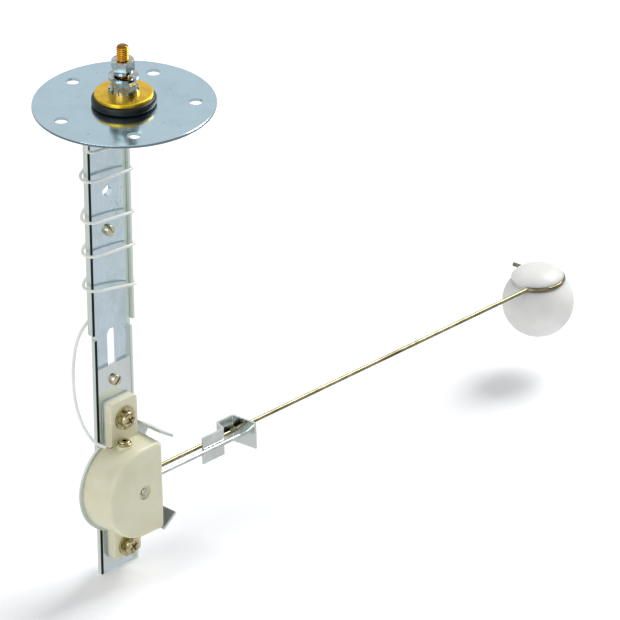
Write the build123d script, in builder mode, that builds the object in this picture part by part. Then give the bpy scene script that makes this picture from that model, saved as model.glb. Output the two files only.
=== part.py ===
# Fuel level sender for a tank: a round five-hole flange carries a three-piece adjustable strut, a moulded
# resistor housing at its lower end, a swing arm with a clamped float rod, and a ball float in a wire loop.
# Units are mm. The origin is the centre of the flange's underside, where it seals against the tank.
# +Z is up, the float points along +X, and the strut opens towards the viewer, along -Y.
import math
import os
from build123d import *

os.makedirs("parts", exist_ok=True)

# Mounting flange
FLANGE_R = 35.0
FLANGE_T = 1.2
BOLT_CIRCLE_R = 27.0
BOLT_HOLE_R = 2.65
BOLT_ANGLES = (92, 22, -44, -126, 165)  # uneven, so the flange fits the tank one way only

# Strut, folded from one gauge of sheet
SHEET = 1.1
BEND_R = 1.5
STRUT_BACK = 12.9  # the rearmost face of the strut, behind the flange's axis
UPPER_W = 21.8
UPPER_DEPTH = 3.7
UPPER_LEN = 98.0
FOOT_LEN = 10.0
NEST_GAP = 0.1
MIDDLE_TOP = -14.0
MIDDLE_BOTTOM = -200.9
WING_TOP = -100.6
WING_RISE = 1.2  # how far the middle strip's wings stand in front of its web
STAGE_HOLE_R = 2.55
STAGE_HOLE_Z = -39.8
STAGE_SCREW_Z = -56.7
SLOT_W = 4.4
SLOT_TOP = -98.7
SLOT_BOTTOM = -125.0
LOWER_TOP = -113.4
LOWER_BOTTOM = -198.6
DEPTH_SCREW_Z = -120.4

# Small screws: shank, head and nut
SCREW_R = 1.9
SCREW_CLEAR = 0.15
PAN_R = 2.7
PAN_H = 1.8
NUT_FLATS = 7.0
NUT_H = 2.4
DEPTH_WASHER_R = 4.2
DEPTH_WASHER_T = 0.8

# Housing and its backing plate
PIVOT_Z = -163.6
PLATE_T = 1.0
DISC_R = 20.3
PLATE_STRIP_W = 13.0
HOUSING_R = 18.9
HOUSING_FLAT = 9.9
HOUSING_DEPTH = 14.3
HOUSING_DRAFT = 1.0
HOUSING_WALL = 2.2
HOUSING_EDGE_R = 1.6
EAR_W = 13.6
EAR_T = 3.6
EAR_TOP = -127.4
EAR_BOTTOM = -194.2
EAR_SCREW_TOP = -135.2
EAR_SCREW_BOTTOM = -189.6
EAR_SCREW_HEAD_R = 3.3
EAR_SCREW_HEAD_H = 2.4
EAR_WASHER_R = 4.7
EAR_WASHER_T = 0.9
STOP_W = 8.0
STOPS = ((-53.0, 21.8), (57.0, 23.2))  # each stop tab's angle, and its inner face from the pivot
STOP_REACH = 13.0

# Pivot, hub, wiper and resistor
PIN_R = 1.5
PIN_HEAD_R = 2.5
PIN_HEAD_T = 0.9
RUN_CLEAR = 0.05
RECESS_R = 3.0
RECESS_DEPTH = 1.1
HUB_R = 4.0
HUB_GAP = 0.4
HUB_LEN = 9.4
HUB_BOSS_LEN = 8.5
CARD_R = 13.6
CARD_T = 1.0
CARD_SPAN = 104.0
WIRE_BUILD = 0.4  # how far the winding stands off the card
TIP_CLEAR = 0.3
LEAF_T = 0.4
LEAF_W = 3.0

# Swing arm, bracket, float rod and float
ARM_R = 0.75
ARM_Z = -162.0
ROD_R = 0.8
ROD_Y = 3.7
ROD_START = 13.5
BRACKET_T = 0.9
BRACKET_H = 11.0
TAB_LEFT = 36.3
TAB_RIGHT = 47.1
TAB_Y = 0.35
BACK_WALL_Y = 5.6
BACK_WALL_LEFT = 48.9
BACK_WALL_RIGHT = 57.2
FRONT_WALL_X = 58.6
FRONT_WALL_Y = -5.2
CLAMP_X = 53.1
CLAMP_R = 1.7
CLAMP_HEAD_R = 2.7
CLAMP_HEAD_T = 2.0
FLOAT_X = 222.4
FLOAT_Y = 7.6
LOOP_R = 10.0
LOOP_BEND = 2.0
LOOP_END = 69.0
STUB_HEADING = 98.0
STUB_LEN = 4.0
FLOAT_R = 13.9
FLOAT_DROP = 9.95  # the ball's centre below the loop
FLOAT_WALL = 1.4
GROOVE_CLEAR = 0.25
CAP_R = 10.2
CAP_RISE = 3.5

# Terminal stack, from the flange upwards
STUD_R = 2.4
STUD_TOP = 25.6
STUD_HEAD_R = 4.4
STUD_HEAD_T = 1.8
INSULATOR_R = 12.4
INSULATOR_T = 3.4
DISC_WASHER_R = 11.3
DISC_WASHER_T = 1.4
SMALL_WASHER_R = 6.0
SMALL_WASHER_T = 1.1
TOOTH_COUNT = 12
TERMINAL_NUT_FLATS = 8.0
TERMINAL_NUT_H = 4.0
FLAT_WASHER_R = 5.8
FLAT_WASHER_T = 1.0
LOCK_R = 3.0
LOCK_SECTION = 1.3
LOCK_PITCH = 1.5
BUSH_R = 4.0
INNER_WASHER_R = 8.0
INNER_WASHER_T = 1.8
LUG_T = 0.8
LUG_R = 4.2
LUG_BARREL_R = 1.3
LUG_BARREL_LEN = 5.0

# Lead wire and its bare end
LEAD_R = 0.6
BARE_R = 0.3
BARE_BEND_R = 1.2
EYELET_X = -3.0
EYELET_Y = 1.95
EYELET_R = 1.2
EYELET_HEAD_R = 2.2
EYELET_HEAD_T = 1.5
PAD_R = 3.2
PAD_RISE = 0.5

# Planes worked out from the sizes above, from the back of the strut to the front
WEB_FRONT = STRUT_BACK - SHEET
MIDDLE_FRONT = WEB_FRONT - SHEET
LOWER_FRONT = MIDDLE_FRONT - SHEET
PLATE_BACK = MIDDLE_FRONT - WING_RISE
HOUSING_BACK = PLATE_BACK - PLATE_T
HOUSING_FRONT = HOUSING_BACK - HOUSING_DEPTH
CAVITY_FRONT = HOUSING_FRONT + HOUSING_WALL
EAR_FRONT = HOUSING_BACK - EAR_T
MIDDLE_W = UPPER_W - 2 * SHEET - 2 * NEST_GAP
LOWER_W = MIDDLE_W - 2 * SHEET - 2 * NEST_GAP
ARM_Y = TAB_Y - BRACKET_T / 2 - ARM_R
HUB_FRONT = CAVITY_FRONT + HUB_GAP


def upright(y):
    """A drawing plane that faces the viewer at the given y, with x across and z up."""
    return Plane.XZ.offset(-y)


def channel_outline(width, depth, back):
    """Cross-section of a folded channel that opens towards the viewer, with rounded outer bends."""
    with BuildSketch() as outline:
        with Locations((0, back - depth / 2)):
            Rectangle(width, depth)
        fillet(outline.vertices().group_by(Axis.Y)[-1], BEND_R)
        with Locations((0, back - SHEET - depth / 2)):
            Rectangle(width - 2 * SHEET, depth, mode=Mode.SUBTRACT)
    return outline.sketch


def round_corner_arc(before, corner, after, share=0.45):
    """Radius of the bend at a corner: a share of the shorter run, over the tangent of half the turn."""
    run_in = Vector(*corner) - Vector(*before)
    run_out = Vector(*after) - Vector(*corner)
    half_turn = math.radians(run_in.get_angle(run_out)) / 2
    return share * min(run_in.length, run_out.length) / math.tan(half_turn)


# Mounting flange: a stamped disc with a centre hole for the bush and five bolt holes
with BuildPart() as mounting_flange:
    Cylinder(FLANGE_R, FLANGE_T, align=(Align.CENTER, Align.CENTER, Align.MIN))
    fillet(mounting_flange.edges().filter_by(GeomType.CIRCLE), 0.3)
    with Locations((0, 0, FLANGE_T / 2)):
        Cylinder(BUSH_R, 2 * FLANGE_T, mode=Mode.SUBTRACT)
    for angle in BOLT_ANGLES:
        with PolarLocations(BOLT_CIRCLE_R, 1, start_angle=angle):
            Cylinder(BOLT_HOLE_R, 4 * FLANGE_T, mode=Mode.SUBTRACT)
mounting_flange.part.label = "mounting_flange"
export_step(mounting_flange.part, "parts/mounting_flange.step")

# Upper channel: welded under the flange by a foot that is bent back from its web
with BuildPart() as upper_channel:
    add(channel_outline(UPPER_W, UPPER_DEPTH, STRUT_BACK))
    extrude(amount=-UPPER_LEN)
    with BuildSketch(Plane.YZ.offset(-UPPER_W / 2 + BEND_R)):
        with Locations((WEB_FRONT + (FOOT_LEN + SHEET) / 2, -SHEET / 2)):
            Rectangle(FOOT_LEN + SHEET, SHEET)
    extrude(amount=UPPER_W - 2 * BEND_R)
    with BuildSketch(upright(STRUT_BACK + 1)):
        with Locations((0, STAGE_HOLE_Z)):
            Circle(STAGE_HOLE_R)
        with Locations((0, STAGE_SCREW_Z)):
            Circle(SCREW_R)
    extrude(amount=SHEET + 2, mode=Mode.SUBTRACT)
upper_channel.part.label = "upper_channel"
export_step(upper_channel.part, "parts/upper_channel.step")

# Middle channel: flat inside the upper channel, then winged, with the slot that sets the depth
with BuildPart() as middle_channel:
    with BuildSketch(Plane.XY.offset(MIDDLE_TOP)):
        with Locations((0, WEB_FRONT - SHEET / 2)):
            Rectangle(MIDDLE_W, SHEET)
    extrude(amount=MIDDLE_BOTTOM - MIDDLE_TOP)
    with BuildSketch(Plane.XY.offset(WING_TOP)) as wings:
        for side in (-1, 1):
            with Locations((side * (MIDDLE_W - SHEET) / 2, WEB_FRONT - (SHEET + WING_RISE) / 2)):
                Rectangle(SHEET, SHEET + WING_RISE)
    extrude(amount=MIDDLE_BOTTOM - WING_TOP)
    wing_bends = middle_channel.edges().filter_by(Axis.Z).group_by(Axis.Y)[-1]
    fillet([edge for edge in wing_bends if edge.center().Z < WING_TOP], 0.6)
    with BuildSketch(upright(WEB_FRONT + 1)):
        with Locations((0, STAGE_HOLE_Z)):
            Circle(STAGE_HOLE_R)
        with Locations((0, STAGE_SCREW_Z)):
            Circle(SCREW_R + SCREW_CLEAR)
        with Locations((0, (SLOT_TOP + SLOT_BOTTOM) / 2)):
            SlotOverall(SLOT_TOP - SLOT_BOTTOM, SLOT_W, rotation=90)
        with Locations((0, EAR_SCREW_TOP), (0, EAR_SCREW_BOTTOM)):
            Circle(SCREW_R + SCREW_CLEAR)
    extrude(amount=SHEET + 2, mode=Mode.SUBTRACT)
middle_channel.part.label = "middle_channel"
export_step(middle_channel.part, "parts/middle_channel.step")

# Lower plate: lies between the wings and carries the housing
with BuildPart() as lower_plate:
    with BuildSketch(upright(MIDDLE_FRONT)):
        with Locations((0, (LOWER_TOP + LOWER_BOTTOM) / 2)):
            Rectangle(LOWER_W, LOWER_TOP - LOWER_BOTTOM)
        with Locations((0, DEPTH_SCREW_Z), (0, EAR_SCREW_TOP), (0, EAR_SCREW_BOTTOM)):
            Circle(SCREW_R + SCREW_CLEAR, mode=Mode.SUBTRACT)
        with Locations((0, PIVOT_Z)):
            Circle(PIN_R + 1.2, mode=Mode.SUBTRACT)
    extrude(amount=SHEET)
lower_plate.part.label = "lower_plate"
export_step(lower_plate.part, "parts/lower_plate.step")


def pan_screw(face, tip, z, head_r, head_h):
    """A pan-head screw whose head sits on a plane that faces the viewer, with its shank going back to tip."""
    with BuildSketch(upright(face)) as head:
        with Locations((0, z)):
            Circle(head_r)
    extrude(head.sketch, amount=head_h)
    rim = [
        edge for edge in edges().filter_by(GeomType.CIRCLE)
        if abs(edge.center().Y - (face - head_h)) < 0.01 and abs(edge.center().Z - z) < 0.01
    ]
    fillet(rim, 0.4 * head_h)
    with BuildSketch(upright(tip)) as shank:
        with Locations((0, z)):
            Circle(SCREW_R)
    extrude(shank.sketch, amount=tip - face)


# Stage screw: threads into the upper channel and holds the middle one in front of it
with BuildPart() as stage_screw:
    pan_screw(MIDDLE_FRONT, STRUT_BACK + 0.4, STAGE_SCREW_Z, PAN_R, PAN_H)
    with BuildSketch(upright(MIDDLE_FRONT - PAN_H)):
        with Locations((0, STAGE_SCREW_Z)):
            Rectangle(2 * PAN_R, 0.7, rotation=35)
    extrude(amount=-0.8, mode=Mode.SUBTRACT)
stage_screw.part.label = "stage_screw"
export_step(stage_screw.part, "parts/stage_screw.step")

# Depth screw: clamps the lower plate through the slot
DEPTH_TIP = WEB_FRONT + DEPTH_WASHER_T + NUT_H + 0.8
with BuildPart() as depth_screw:
    pan_screw(LOWER_FRONT, DEPTH_TIP, DEPTH_SCREW_Z, PAN_R, PAN_H)
    with BuildSketch(upright(LOWER_FRONT - PAN_H)):
        with Locations((0, DEPTH_SCREW_Z)):
            Rectangle(2 * PAN_R, 0.7, rotation=60)
    extrude(amount=-0.8, mode=Mode.SUBTRACT)
depth_screw.part.label = "depth_screw"
export_step(depth_screw.part, "parts/depth_screw.step")

with BuildPart() as depth_washer:
    with BuildSketch(upright(WEB_FRONT + DEPTH_WASHER_T)):
        with Locations((0, DEPTH_SCREW_Z)):
            Circle(DEPTH_WASHER_R)
            Circle(SCREW_R + SCREW_CLEAR, mode=Mode.SUBTRACT)
    extrude(amount=DEPTH_WASHER_T)
depth_washer.part.label = "depth_washer"
export_step(depth_washer.part, "parts/depth_washer.step")

with BuildPart() as depth_nut:
    with BuildSketch(upright(WEB_FRONT + DEPTH_WASHER_T + NUT_H)):
        with Locations((0, DEPTH_SCREW_Z)):
            RegularPolygon(NUT_FLATS / 2, 6, major_radius=False)
            Circle(SCREW_R, mode=Mode.SUBTRACT)
    extrude(amount=NUT_H)
depth_nut.part.label = "depth_nut"
export_step(depth_nut.part, "parts/depth_nut.step")

# Backing plate: a disc behind the housing, a strip under both ears, and two stop tabs bent forward
with BuildPart() as backing_plate:
    with BuildSketch(upright(PLATE_BACK)):
        with Locations((0, PIVOT_Z)):
            Circle(DISC_R)
        with Locations((0, (EAR_TOP + EAR_BOTTOM) / 2)):
            Rectangle(PLATE_STRIP_W, EAR_TOP - EAR_BOTTOM)
        for angle, stop_r in STOPS:
            with Locations(Location((0, PIVOT_Z), angle)):
                with Locations(((stop_r + PLATE_T + DISC_R / 2) / 2, 0)):
                    Rectangle(stop_r + PLATE_T - DISC_R / 2, STOP_W)
        with Locations((0, PIVOT_Z)):
            Circle(PIN_R, mode=Mode.SUBTRACT)
        with Locations((0, EAR_SCREW_TOP), (0, EAR_SCREW_BOTTOM)):
            Circle(SCREW_R + SCREW_CLEAR, mode=Mode.SUBTRACT)
    extrude(amount=PLATE_T)
    with BuildSketch(upright(PLATE_BACK)):
        for angle, stop_r in STOPS:
            with Locations(Location((0, PIVOT_Z), angle)):
                with Locations((stop_r + PLATE_T / 2, 0)):
                    Rectangle(PLATE_T, STOP_W)
    extrude(amount=PLATE_T + STOP_REACH)
backing_plate.part.label = "backing_plate"
export_step(backing_plate.part, "parts/backing_plate.step")


def housing_outline(inset, open_by=0.0):
    """The housing's D: a half disc to the left and a square end at the flat side, inset by a wall."""
    radius = HOUSING_R - inset
    length = HOUSING_FLAT + open_by
    with Locations((0, PIVOT_Z)):
        Circle(radius)
    with Locations((length / 2, PIVOT_Z)):
        Rectangle(length, 2 * radius)
    with Locations((length + radius, PIVOT_Z)):
        Rectangle(2 * radius, 2 * radius, mode=Mode.SUBTRACT)


# Resistor housing: drafted D-shaped shell with rounded front edges, two screw ears, a pivot recess in its
# front, and a flat side that is left open for the arm to swing
with BuildPart() as resistor_housing:
    with BuildSketch(upright(HOUSING_BACK)) as d_outline:
        housing_outline(0)
        corners = [v for v in d_outline.vertices() if v.X > HOUSING_FLAT - 0.1]
        fillet(corners, 2.5)
    extrude(amount=HOUSING_DEPTH, taper=HOUSING_DRAFT)
    fillet(resistor_housing.faces().sort_by(Axis.Y)[0].edges(), HOUSING_EDGE_R)
    with BuildSketch(upright(HOUSING_BACK)) as ears:
        with Locations((0, (EAR_TOP + EAR_BOTTOM) / 2)):
            Rectangle(EAR_W, EAR_TOP - EAR_BOTTOM)
        fillet(ears.vertices(), 1.5)
    extrude(amount=EAR_T)
    with Locations((EYELET_X, EYELET_Y, PIVOT_Z + HOUSING_R + PAD_RISE)):
        Cylinder(PAD_R, 4, align=(Align.CENTER, Align.CENTER, Align.MAX))
    with BuildSketch(upright(HOUSING_BACK)):
        housing_outline(HOUSING_WALL, open_by=5.0)
    extrude(amount=HOUSING_DEPTH - HOUSING_WALL, mode=Mode.SUBTRACT)
    with BuildSketch(upright(HOUSING_FRONT)):
        with Locations((0, PIVOT_Z)):
            Circle(RECESS_R)
    extrude(amount=-RECESS_DEPTH, mode=Mode.SUBTRACT)
    with BuildSketch(upright(HOUSING_FRONT)):
        with Locations((0, PIVOT_Z)):
            Circle(PIN_R)
    extrude(amount=-2 * HOUSING_WALL, mode=Mode.SUBTRACT)
    with BuildSketch(upright(HOUSING_BACK)):
        with Locations((0, EAR_SCREW_TOP), (0, EAR_SCREW_BOTTOM)):
            Circle(SCREW_R + SCREW_CLEAR)
    extrude(amount=EAR_T, mode=Mode.SUBTRACT)
    with Locations((EYELET_X, EYELET_Y, PIVOT_Z + HOUSING_R)):
        Cylinder(EYELET_R, 8, mode=Mode.SUBTRACT)
resistor_housing.part.label = "resistor_housing"
export_step(resistor_housing.part, "parts/resistor_housing.step")

# Housing screws: cross-recess pan heads over washers, with nuts behind the strut
EAR_TIP = WEB_FRONT + NUT_H + 0.8
EAR_HEAD_FACE = EAR_FRONT - EAR_WASHER_T
with BuildPart() as housing_screws:
    for z in (EAR_SCREW_TOP, EAR_SCREW_BOTTOM):
        pan_screw(EAR_HEAD_FACE, EAR_TIP, z, EAR_SCREW_HEAD_R, EAR_SCREW_HEAD_H)
        for turn in (30, 120):
            with BuildSketch(upright(EAR_HEAD_FACE - EAR_SCREW_HEAD_H)):
                with Locations((0, z)):
                    Rectangle(3.6, 0.8, rotation=turn)
            extrude(amount=-1.3, mode=Mode.SUBTRACT)
housing_screws.part.label = "housing_screws"
export_step(housing_screws.part, "parts/housing_screws.step")

with BuildPart() as housing_washers:
    with BuildSketch(upright(EAR_FRONT)):
        with Locations((0, EAR_SCREW_TOP), (0, EAR_SCREW_BOTTOM)):
            Circle(EAR_WASHER_R)
            Circle(SCREW_R + SCREW_CLEAR, mode=Mode.SUBTRACT)
    extrude(amount=EAR_WASHER_T)
housing_washers.part.label = "housing_washers"
export_step(housing_washers.part, "parts/housing_washers.step")

with BuildPart() as housing_nuts:
    with BuildSketch(upright(WEB_FRONT + NUT_H)):
        with Locations((0, EAR_SCREW_TOP), (0, EAR_SCREW_BOTTOM)):
            RegularPolygon(NUT_FLATS / 2, 6, major_radius=False)
            Circle(SCREW_R, mode=Mode.SUBTRACT)
    extrude(amount=NUT_H)
housing_nuts.part.label = "housing_nuts"
export_step(housing_nuts.part, "parts/housing_nuts.step")

# Pivot pin: headed in the front recess and riveted into the backing plate
with BuildPart() as pivot_pin:
    with BuildSketch(upright(PLATE_BACK)):
        with Locations((0, PIVOT_Z)):
            Circle(PIN_R)
    extrude(amount=PLATE_BACK - HOUSING_FRONT - RECESS_DEPTH)
    with BuildSketch(upright(HOUSING_FRONT + RECESS_DEPTH)):
        with Locations((0, PIVOT_Z)):
            Circle(PIN_HEAD_R)
    extrude(amount=PIN_HEAD_T)
    fillet(pivot_pin.faces().sort_by(Axis.Y)[0].edges(), 0.4)
pivot_pin.part.label = "pivot_pin"
export_step(pivot_pin.part, "parts/pivot_pin.step")

# Wiper hub: a moulded sleeve that turns on the pin, with a boss that grips the arm
with BuildPart() as wiper_hub:
    with BuildSketch(upright(HUB_FRONT + HUB_LEN)):
        with Locations((0, PIVOT_Z)):
            Circle(HUB_R)
    extrude(amount=HUB_LEN)
    with BuildSketch(upright(ARM_Y + 2.2)) as boss:
        with Locations((HUB_BOSS_LEN / 2, ARM_Z)):
            Rectangle(HUB_BOSS_LEN, 4.4)
        fillet([v for v in boss.vertices() if v.X > 1], 1.0)
    extrude(amount=ARM_Y + 2.2 - HUB_FRONT)
    with BuildSketch(upright(HUB_FRONT + HUB_LEN)):
        with Locations((0, PIVOT_Z)):
            Circle(PIN_R + RUN_CLEAR)
    extrude(amount=HUB_LEN, mode=Mode.SUBTRACT)
    with BuildSketch(Plane.YZ.offset(PIN_R + ARM_R + 0.4)):
        with Locations((ARM_Y, ARM_Z)):
            Circle(ARM_R)
    extrude(amount=HUB_BOSS_LEN, mode=Mode.SUBTRACT)
wiper_hub.part.label = "wiper_hub"
export_step(wiper_hub.part, "parts/wiper_hub.step")

# Spring washer: a shallow cone between the hub and the backing plate, which gives the arm its drag
CONE_FRONT = HUB_FRONT + HUB_LEN + 0.05
with BuildPart() as spring_washer:
    with BuildSketch(Plane.YZ) as cone:
        with BuildLine():
            Polyline(
                (CONE_FRONT, PIVOT_Z + PIN_R + 0.2),
                (CONE_FRONT + 0.35, PIVOT_Z + PIN_R + 0.2),
                (HOUSING_BACK, PIVOT_Z + HUB_R - 0.4),
                (HOUSING_BACK - 0.35, PIVOT_Z + HUB_R - 0.4),
                close=True,
            )
        make_face()
    revolve(axis=Axis((0, 0, PIVOT_Z), (0, 1, 0)))
spring_washer.part.label = "spring_washer"
export_step(spring_washer.part, "parts/spring_washer.step")

# Resistor card: an arc of fibre board opposite the arm, seated against the front of the cavity
CARD_Y = HOUSING_BACK - 1.2


def card_arc(grow, back, front):
    """The card's arc of ring, grown by a thickness on both faces, between two planes."""
    with BuildSketch(upright(back)) as arc:
        with Locations((0, PIVOT_Z)):
            Circle(CARD_R + CARD_T + grow)
            Circle(CARD_R - grow, mode=Mode.SUBTRACT)
        with BuildLine():
            half = math.radians(CARD_SPAN / 2 + math.copysign(0.5, grow - 0.1))
            reach = 3 * HOUSING_R
            Polyline(
                (0, PIVOT_Z),
                (-reach * math.cos(half), PIVOT_Z + reach * math.sin(half)),
                (-reach * math.cos(half), PIVOT_Z - reach * math.sin(half)),
                close=True,
            )
        make_face(mode=Mode.INTERSECT)
    extrude(arc.sketch, amount=back - front)


with BuildPart() as resistor_card:
    card_arc(0.0, CARD_Y, CAVITY_FRONT)
resistor_card.part.label = "resistor_card"
export_step(resistor_card.part, "parts/resistor_card.step")

# Winding: a sleeve of fine wire round the card, just clear of the wiper
with BuildPart() as resistance_winding:
    card_arc(WIRE_BUILD, CARD_Y - 1.2, CAVITY_FRONT + 1.2)
    add(resistor_card.part, mode=Mode.SUBTRACT)
resistance_winding.part.label = "resistance_winding"
export_step(resistance_winding.part, "parts/resistance_winding.step")

# Wiper: a brass leaf on the hub that reaches to the winding, opposite the arm
LEAF_TIP = CARD_R - WIRE_BUILD - TIP_CLEAR
LEAF_Y = (CARD_Y + CAVITY_FRONT) / 2
with BuildPart() as wiper_contact:
    with BuildSketch(upright(LEAF_Y + LEAF_W / 2)):
        with Locations((-(HUB_R + LEAF_TIP) / 2, PIVOT_Z)):
            Rectangle(LEAF_TIP - HUB_R, LEAF_T)
        with Locations((0, PIVOT_Z)):
            Circle(HUB_R + LEAF_T)
            Circle(HUB_R, mode=Mode.SUBTRACT)
        with Locations((HUB_R + 1, PIVOT_Z)):
            Rectangle(2 * (HUB_R + 1), 4 * HUB_R, mode=Mode.SUBTRACT)
        with Locations((-LEAF_TIP + 0.6, PIVOT_Z)):
            Circle(0.6)
    extrude(amount=LEAF_W)
wiper_contact.part.label = "wiper_contact"
export_step(wiper_contact.part, "parts/wiper_contact.step")

# Swing arm: a plated wire from the hub to the bracket's front wall
with BuildPart() as swing_arm:
    with BuildSketch(Plane.YZ.offset(PIN_R + ARM_R + 0.4)):
        with Locations((ARM_Y, ARM_Z)):
            Circle(ARM_R)
    extrude(amount=BACK_WALL_RIGHT + 1.5 - PIN_R - ARM_R)
swing_arm.part.label = "swing_arm"
export_step(swing_arm.part, "parts/swing_arm.step")

# Rod bracket: one folded strip, with a square tab along the arm and two walls that the rod passes through
with BuildPart() as rod_bracket:
    with BuildSketch(Plane.XY.offset(ARM_Z - BRACKET_H / 2)):
        with BuildLine():
            fold = FilletPolyline(
                (TAB_LEFT, TAB_Y),
                (TAB_RIGHT, TAB_Y),
                (BACK_WALL_LEFT, BACK_WALL_Y),
                (BACK_WALL_RIGHT, BACK_WALL_Y),
                (FRONT_WALL_X, FRONT_WALL_Y),
                radius=0.9,
            )
            offset(fold, amount=BRACKET_T / 2, side=Side.BOTH)
        make_face()
    extrude(amount=BRACKET_H)
    with BuildSketch(Plane.YZ.offset(TAB_RIGHT - 1)):
        with Locations((ROD_Y, ARM_Z)):
            Circle(ROD_R)
    extrude(amount=FRONT_WALL_X - TAB_RIGHT + 4, mode=Mode.SUBTRACT)
    with BuildSketch(Plane.YZ.offset(BACK_WALL_RIGHT - 2)):
        with Locations((ARM_Y, ARM_Z)):
            Circle(ARM_R)
    extrude(amount=6, mode=Mode.SUBTRACT)
    with BuildSketch(upright(BACK_WALL_Y + BRACKET_T)):
        with Locations((CLAMP_X, ARM_Z)):
            Circle(CLAMP_R)
    extrude(amount=2 * BRACKET_T, mode=Mode.SUBTRACT)
rod_bracket.part.label = "rod_bracket"
export_step(rod_bracket.part, "parts/rod_bracket.step")

# Clamp screw: black, through the back wall and down onto the rod
CLAMP_FACE = BACK_WALL_Y + BRACKET_T / 2
with BuildPart() as clamp_screw:
    with BuildSketch(upright(CLAMP_FACE + CLAMP_HEAD_T)):
        with Locations((CLAMP_X, ARM_Z)):
            Circle(CLAMP_HEAD_R)
    extrude(amount=CLAMP_HEAD_T)
    fillet(clamp_screw.faces().sort_by(Axis.Y)[-1].edges(), 0.7)
    with BuildSketch(upright(CLAMP_FACE)):
        with Locations((CLAMP_X, ARM_Z)):
            Circle(CLAMP_R)
    extrude(amount=CLAMP_FACE - ROD_Y - ROD_R)
clamp_screw.part.label = "clamp_screw"
export_step(clamp_screw.part, "parts/clamp_screw.step")

# Float rod: straight, then bent into an open loop round the float, with its end turned out
LOOP_C = Vector(FLOAT_X, FLOAT_Y, ARM_Z)
BEND_C = Vector(FLOAT_X - math.sqrt((LOOP_R + LOOP_BEND) ** 2 - (FLOAT_Y - ROD_Y + LOOP_BEND) ** 2),
                ROD_Y - LOOP_BEND, ARM_Z)
LOOP_START = 180 + math.degrees(math.atan2(FLOAT_Y - BEND_C.Y, FLOAT_X - BEND_C.X))
END_C = LOOP_C + Vector(LOOP_R + LOOP_BEND, 0, 0).rotate(Axis.Z, LOOP_END)
with BuildPart() as float_rod:
    with BuildLine() as rod_path:
        Line((ROD_START, ROD_Y, ARM_Z), (BEND_C.X, ROD_Y, ARM_Z))
        CenterArc(BEND_C, LOOP_BEND, 90, LOOP_START - 180 - 90)
        CenterArc(LOOP_C, LOOP_R, LOOP_START, LOOP_END + 360 - LOOP_START)
        CenterArc(END_C, LOOP_BEND, LOOP_END + 180, STUB_HEADING + 90 - LOOP_END - 180)
        stub = END_C + Vector(LOOP_BEND, 0, 0).rotate(Axis.Z, STUB_HEADING + 90)
        Line(stub, stub + Vector(STUB_LEN, 0, 0).rotate(Axis.Z, STUB_HEADING))
    with BuildSketch(Plane.YZ.offset(ROD_START)):
        with Locations((ROD_Y, ARM_Z)):
            Circle(ROD_R)
    sweep(path=rod_path.line)
float_rod.part.label = "float_rod"
export_step(float_rod.part, "parts/float_rod.step")

# Float: a hollow moulded ball with a groove for the loop and a low domed cap above it
FLOAT_AXIS = Axis((FLOAT_X, FLOAT_Y, 0), (0, 0, 1))
BALL_Z = ARM_Z - FLOAT_DROP
GROOVE_LOW = ARM_Z - ROD_R - GROOVE_CLEAR
GROOVE_TOP = ARM_Z + ROD_R + GROOVE_CLEAR
GROOVE_R = LOOP_R - ROD_R - GROOVE_CLEAR
NECK_R = math.sqrt(FLOAT_R ** 2 - (GROOVE_LOW - BALL_Z) ** 2)
with BuildPart() as float_ball:
    with BuildSketch(Plane(FLOAT_AXIS.position, x_dir=(1, 0, 0), z_dir=(0, -1, 0))):
        with BuildLine():
            Line((0, BALL_Z - FLOAT_R), (0, GROOVE_TOP + CAP_RISE))
            ThreePointArc(
                (0, GROOVE_TOP + CAP_RISE),
                (0.72 * CAP_R, GROOVE_TOP + 0.58 * CAP_RISE),
                (CAP_R, GROOVE_TOP),
            )
            Polyline((CAP_R, GROOVE_TOP), (GROOVE_R, GROOVE_TOP), (GROOVE_R, GROOVE_LOW), (NECK_R, GROOVE_LOW))
            ThreePointArc((NECK_R, GROOVE_LOW), (FLOAT_R, BALL_Z), (0, BALL_Z - FLOAT_R))
        make_face()
    revolve(axis=FLOAT_AXIS)
    with Locations((FLOAT_X, FLOAT_Y, BALL_Z)):
        Sphere(FLOAT_R - FLOAT_WALL, mode=Mode.SUBTRACT)
float_ball.part.label = "float"
export_step(float_ball.part, "parts/float.step")


def flat_ring(bottom, thickness, outer, inner):
    """A plain washer round the stud."""
    with Locations((0, 0, bottom)):
        Cylinder(outer, thickness, align=(Align.CENTER, Align.CENTER, Align.MIN))
    with Locations((0, 0, bottom)):
        Cylinder(inner, thickness, align=(Align.CENTER, Align.CENTER, Align.MIN), mode=Mode.SUBTRACT)


def hex_nut(bottom, height, turn):
    """A hexagon nut on the stud, with its corners chamfered top and bottom."""
    with BuildSketch(Plane.XY.offset(bottom)) as hexagon:
        RegularPolygon(TERMINAL_NUT_FLATS / 2, 6, major_radius=False, rotation=turn)
        Circle(STUD_R, mode=Mode.SUBTRACT)
    extrude(hexagon.sketch, amount=height)
    with Locations((0, 0, bottom + height / 2)):
        Cone(TERMINAL_NUT_FLATS / 2 + height + 0.1, TERMINAL_NUT_FLATS / 2 + 0.1, height, mode=Mode.INTERSECT)


# Terminal stack: each level starts where the one below ends
DISC_Z = FLANGE_T + INSULATOR_T
SMALL_Z = DISC_Z + DISC_WASHER_T
TOOTH_Z = SMALL_Z + SMALL_WASHER_T
LOWER_NUT_Z = TOOTH_Z + SMALL_WASHER_T
FLAT_Z = LOWER_NUT_Z + TERMINAL_NUT_H
LOCK_Z = FLAT_Z + FLAT_WASHER_T
UPPER_NUT_Z = LOCK_Z + LOCK_SECTION + 0.9 * LOCK_PITCH
LUG_Z = -INNER_WASHER_T - LUG_T

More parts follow.
